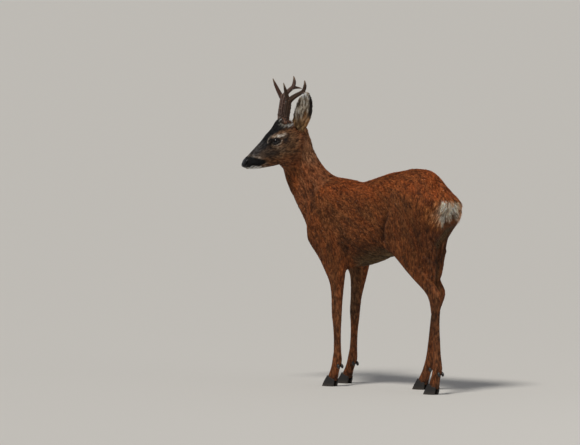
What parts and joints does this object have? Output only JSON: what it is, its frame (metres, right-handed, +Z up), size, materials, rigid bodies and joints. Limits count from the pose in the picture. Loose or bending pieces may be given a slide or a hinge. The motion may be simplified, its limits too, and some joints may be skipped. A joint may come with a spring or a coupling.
{
  "type": "roe deer",
  "caption": "Roe buck in summer coat, life size, standing still with its head turned to the left and three-pointed antlers; a museum-style animal model.",
  "frame": {"origin": "on the floor, under the middle of the bounding box", "axes": "+Z up; the body faces -X, its left side is -Y; the head is turned 60 degrees to the left"},
  "size_m": [0.8062, 0.3364, 1.0441],
  "materials": {
    "coat": "short smooth hair",
    "antler": "bone, pearled and ridged",
    "hoof": "satin horn",
    "eye": "wet gloss"
  },
  "bodies": {
    "root": {"trunk": "coat", "neck": "coat", "head": "coat", "tail": "coat", "eye_left": "eye", "eye_right": "eye", "ear_left": "coat", "ear_right": "coat", "leg_fore_left": "coat", "leg_fore_right": "coat", "leg_hind_left": "coat", "leg_hind_right": "coat", "antler_left_beam": "antler", "antler_left_upper_beam": "antler", "antler_left_top_tine": "antler", "antler_left_front_tine": "antler", "antler_left_rear_tine": "antler", "antler_right_beam": "antler", "antler_right_upper_beam": "antler", "antler_right_top_tine": "antler", "antler_right_front_tine": "antler", "antler_right_rear_tine": "antler", "hoof_fore_left_inner": "hoof", "dewclaw_fore_left_inner": "hoof", "hoof_fore_left_outer": "hoof", "dewclaw_fore_left_outer": "hoof", "hoof_fore_right_inner": "hoof", "dewclaw_fore_right_inner": "hoof", "hoof_fore_right_outer": "hoof", "dewclaw_fore_right_outer": "hoof", "hoof_hind_left_inner": "hoof", "dewclaw_hind_left_inner": "hoof", "hoof_hind_left_outer": "hoof", "dewclaw_hind_left_outer": "hoof", "hoof_hind_right_inner": "hoof", "dewclaw_hind_right_inner": "hoof", "hoof_hind_right_outer": "hoof", "dewclaw_hind_right_outer": "hoof"}
  },
  "joints": []
}
